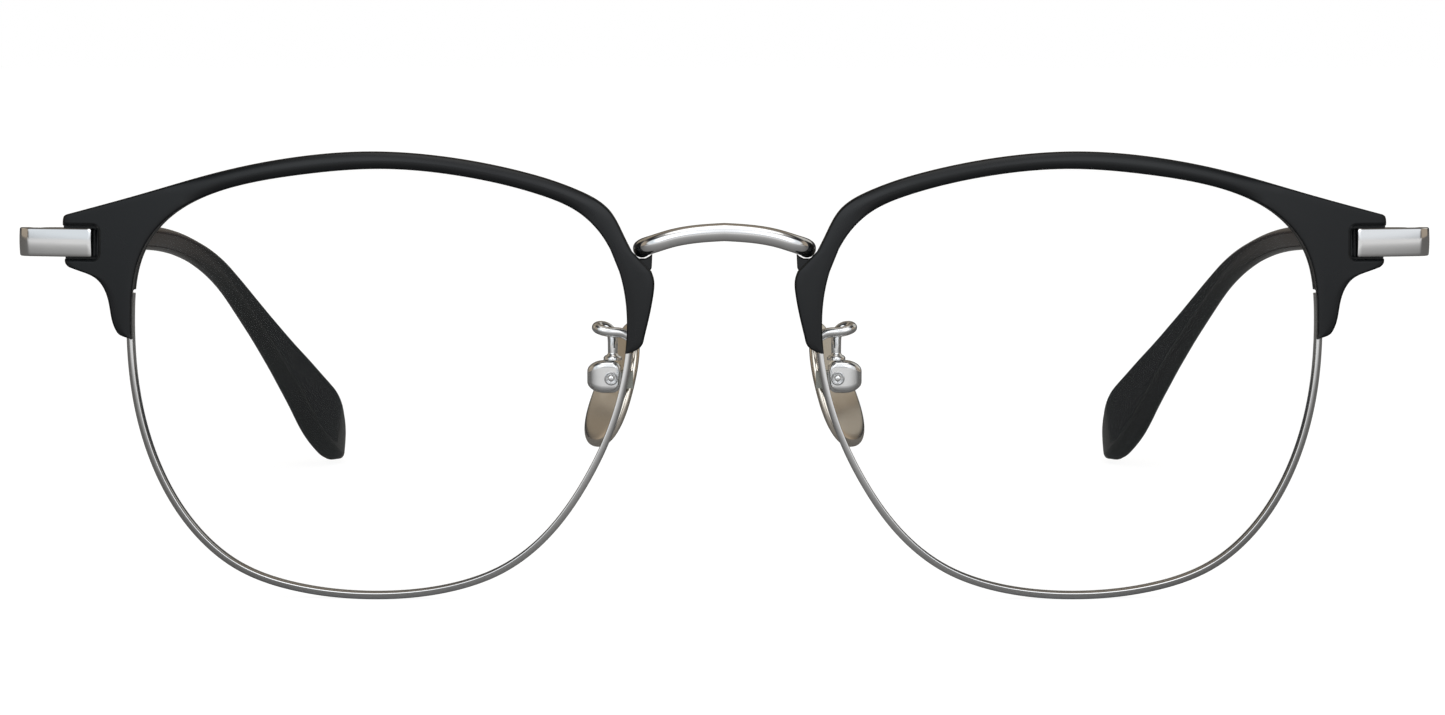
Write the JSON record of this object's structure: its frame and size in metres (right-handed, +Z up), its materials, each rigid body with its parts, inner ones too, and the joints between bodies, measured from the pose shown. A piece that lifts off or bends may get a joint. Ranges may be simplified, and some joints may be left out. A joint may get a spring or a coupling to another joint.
{
  "type": "eyeglasses",
  "caption": "Browline metal eyeglasses: black brow plates over fine wire rims, clear lenses, metal nose pads on wire arms, folding temples with dark plastic tips.",
  "frame": {"origin": "on the table, midway between the two sides and between the foremost and rearmost points", "axes": "+X towards the wearer's left (the viewer's right), +Y back along the temples, +Z up"},
  "size_m": [0.1442, 0.1402, 0.0454],
  "materials": {
    "matte_black": "satin black lacquer",
    "polished_metal": "polished silver-coloured metal",
    "pad_metal": "mirror-polished warm metal",
    "dark_acetate": "polished black-brown acetate",
    "clear_lens": "clear coated lens",
    "washer": "plain"
  },
  "bodies": {
    "front": {"bridge": "polished_metal", "rim_left": "polished_metal", "rim_right": "polished_metal", "brow_left": "matte_black", "brow_right": "matte_black", "lens_left": "clear_lens", "lens_right": "clear_lens", "bridge_mount_left": "matte_black", "bridge_mount_right": "matte_black", "endpiece_left": "polished_metal", "endpiece_right": "polished_metal", "closing_block_upper_left": "matte_black", "closing_block_upper_right": "matte_black", "closing_block_lower_left": "matte_black", "closing_block_lower_right": "matte_black", "closing_screw_left": "polished_metal", "closing_screw_right": "polished_metal", "front_hinge_left": "polished_metal", "front_hinge_right": "polished_metal", "hinge_washer_upper_left": "washer", "hinge_washer_upper_right": "washer", "hinge_washer_lower_left": "washer", "hinge_washer_lower_right": "washer", "hinge_screw_left": "polished_metal", "hinge_screw_right": "polished_metal", "pad_arm_left": "polished_metal", "pad_arm_right": "polished_metal", "pad_box_left": "polished_metal", "pad_box_right": "polished_metal", "pad_screw_left": "polished_metal", "pad_screw_right": "polished_metal"},
    "temple_left": {"temple_hinge_left": "polished_metal", "temple_arm_left": "polished_metal", "temple_tip_left": "dark_acetate"},
    "temple_right": {"temple_hinge_right": "polished_metal", "temple_arm_right": "polished_metal", "temple_tip_right": "dark_acetate"},
    "nose_pad_left": {"nose_pad_left": "pad_metal", "pad_lug_left": "polished_metal"},
    "nose_pad_right": {"nose_pad_right": "pad_metal", "pad_lug_right": "polished_metal"}
  },
  "joints": [
    {"name": "temple_left_fold", "type": "hinge", "parent": "front", "child": "temple_left", "pos_m": [0.06955, -0.05497, 0.0357], "axis": [0, 0, 1], "range_deg": [0, 84]},
    {"name": "temple_right_fold", "type": "hinge", "parent": "front", "child": "temple_right", "pos_m": [-0.06955, -0.05497, 0.0357], "axis": [0, 0, -1], "range_deg": [0, 78]},
    {"name": "nose_pad_left_rock", "type": "hinge", "parent": "front", "child": "nose_pad_left", "pos_m": [0.0115, -0.06472, 0.02235], "axis": [0, 1, 0], "range_deg": [-10, 10]},
    {"name": "nose_pad_right_rock", "type": "hinge", "parent": "front", "child": "nose_pad_right", "pos_m": [-0.0115, -0.06472, 0.02235], "axis": [0, 1, 0], "range_deg": [-10, 10]}
  ]
}
